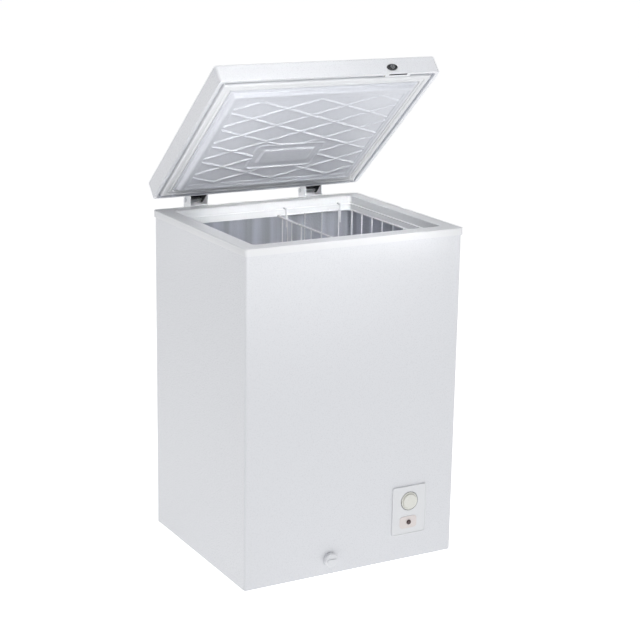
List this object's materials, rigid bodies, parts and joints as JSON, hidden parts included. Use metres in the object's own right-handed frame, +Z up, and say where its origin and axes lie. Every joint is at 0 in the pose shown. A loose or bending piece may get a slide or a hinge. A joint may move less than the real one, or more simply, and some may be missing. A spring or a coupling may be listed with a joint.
{
  "type": "chest freezer",
  "caption": "Small top-opening chest freezer with a hinged insulated lid held ajar, a stucco aluminium tub, a hanging wire basket, a thermostat panel and a drain cap.",
  "frame": {"origin": "centre of the whole freezer's footprint on the floor, lid ajar and hinges included; the cabinet's own centre line is 15.6 mm in front of it", "axes": "+Z up, +X to the right seen from the front, +Y to the back: the control panel and the lid's lock face -Y and the hinges are at +Y"},
  "size_m": [0.5594, 0.5352, 1.1677],
  "materials": {
    "cabinet_paint": "gloss",
    "bracket_paint": "gloss",
    "zinc_steel": "satin",
    "arm_paint": "satin",
    "screw_steel": "satin",
    "insulation_foam": "matte",
    "stucco_aluminium": "satin",
    "frame_plastic": "satin",
    "foot_plastic": "matte",
    "coil_tube": "satin",
    "compressor_paint": "satin",
    "black_rubber": "matte",
    "black_plastic": "matte",
    "copper": "satin",
    "cover_paint": "satin",
    "vent_plastic": "matte",
    "bezel_plastic": "satin",
    "knob_plastic": "satin",
    "badge_plastic": "satin",
    "indicator_red": "gloss",
    "drain_plastic": "satin",
    "spring_steel": "satin",
    "basket_coat": "gloss",
    "lid_paint": "gloss",
    "lid_lining_plastic": "satin",
    "seal_vinyl": "satin",
    "magnet_strip": "matte",
    "lock_black": "gloss",
    "lock_chrome": "polished"
  },
  "bodies": {
    "cabinet": {"outer_wrap": "cabinet_paint", "rear_panel": "cabinet_paint", "hinge_base_left": "bracket_paint", "hinge_base_right": "bracket_paint", "base_pan": "zinc_steel", "compressor_tray": "zinc_steel", "lock_keeper": "zinc_steel", "compressor_mount": "zinc_steel", "hinge_pins": "zinc_steel", "cover_screws": "screw_steel", "hinge_base_screws": "screw_steel", "compressor_bolts": "screw_steel", "cabinet_foam": "insulation_foam", "tub_liner": "stucco_aluminium", "tub_bottom": "stucco_aluminium", "top_frame": "frame_plastic", "feet": "foot_plastic", "evaporator_coil": "coil_tube", "condenser_coil": "coil_tube", "compressor": "compressor_paint", "compressor_grommets": "black_rubber", "cord_gland": "black_rubber", "terminal_cover": "black_plastic", "start_capacitor": "black_plastic", "thermostat_body": "black_plastic", "lamp_holder": "black_plastic", "wiring_harness": "black_plastic", "suction_pipe": "copper", "discharge_pipe": "copper", "filter_drier": "copper", "capillary_tube": "copper", "sensor_tube": "copper", "compressor_cover": "cover_paint", "side_vent": "vent_plastic", "control_bezel": "bezel_plastic", "indicator_plate": "badge_plastic", "indicator_lens": "indicator_red", "drain_tube": "drain_plastic", "hinge_springs": "spring_steel"},
    "lid": {"lid_shell": "lid_paint", "lid_foam": "insulation_foam", "lid_liner": "lid_lining_plastic", "lid_gasket": "seal_vinyl", "gasket_magnets": "magnet_strip", "hinge_arm_left": "arm_paint", "hinge_arm_right": "arm_paint", "hinge_arm_screws": "screw_steel", "lock_housing": "black_plastic", "lock_escutcheon": "lock_black"},
    "lock": {"lock_plug": "lock_chrome", "lock_cam": "lock_chrome", "lock_nut": "screw_steel"},
    "knob": {"thermostat_knob": "knob_plastic", "thermostat_shaft": "screw_steel"},
    "drain_cap_body": {"drain_cap": "drain_plastic"},
    "drain_plug_body": {"drain_plug": "drain_plastic"},
    "basket": {"basket_rim": "basket_coat", "basket_wires": "basket_coat", "basket_hooks": "basket_coat"}
  },
  "joints": [
    {"name": "lid_hinge", "type": "hinge", "parent": "cabinet", "child": "lid", "pos_m": [0, 0.2564, 0.8045], "axis": [-1, 0, 0], "range_deg": [-41, 38], "deforming": ["hinge_springs"]},
    {"name": "lock_turn", "type": "hinge", "parent": "lid", "child": "lock", "pos_m": [0.156, -0.12607, 1.1489], "axis": [0, 0.7547, -0.6561], "range_deg": [0, 90]},
    {"name": "knob_turn", "type": "hinge", "parent": "cabinet", "child": "knob", "pos_m": [0.1548, -0.2586, 0.153], "axis": [0, 1, 0], "range_deg": [-135, 135]},
    {"name": "drain_cap_pull", "type": "slide", "parent": "cabinet", "child": "drain_cap_body", "axis": [0, -1, 0], "range_m": [0, 0.04]},
    {"name": "drain_plug_lift", "type": "slide", "parent": "cabinet", "child": "drain_plug_body", "axis": [0, 0, 1], "range_m": [0, 0.06]},
    {"name": "basket_slide", "type": "slide", "parent": "cabinet", "child": "basket", "axis": [-1, 0, 0], "range_m": [0, 0.25]}
  ]
}
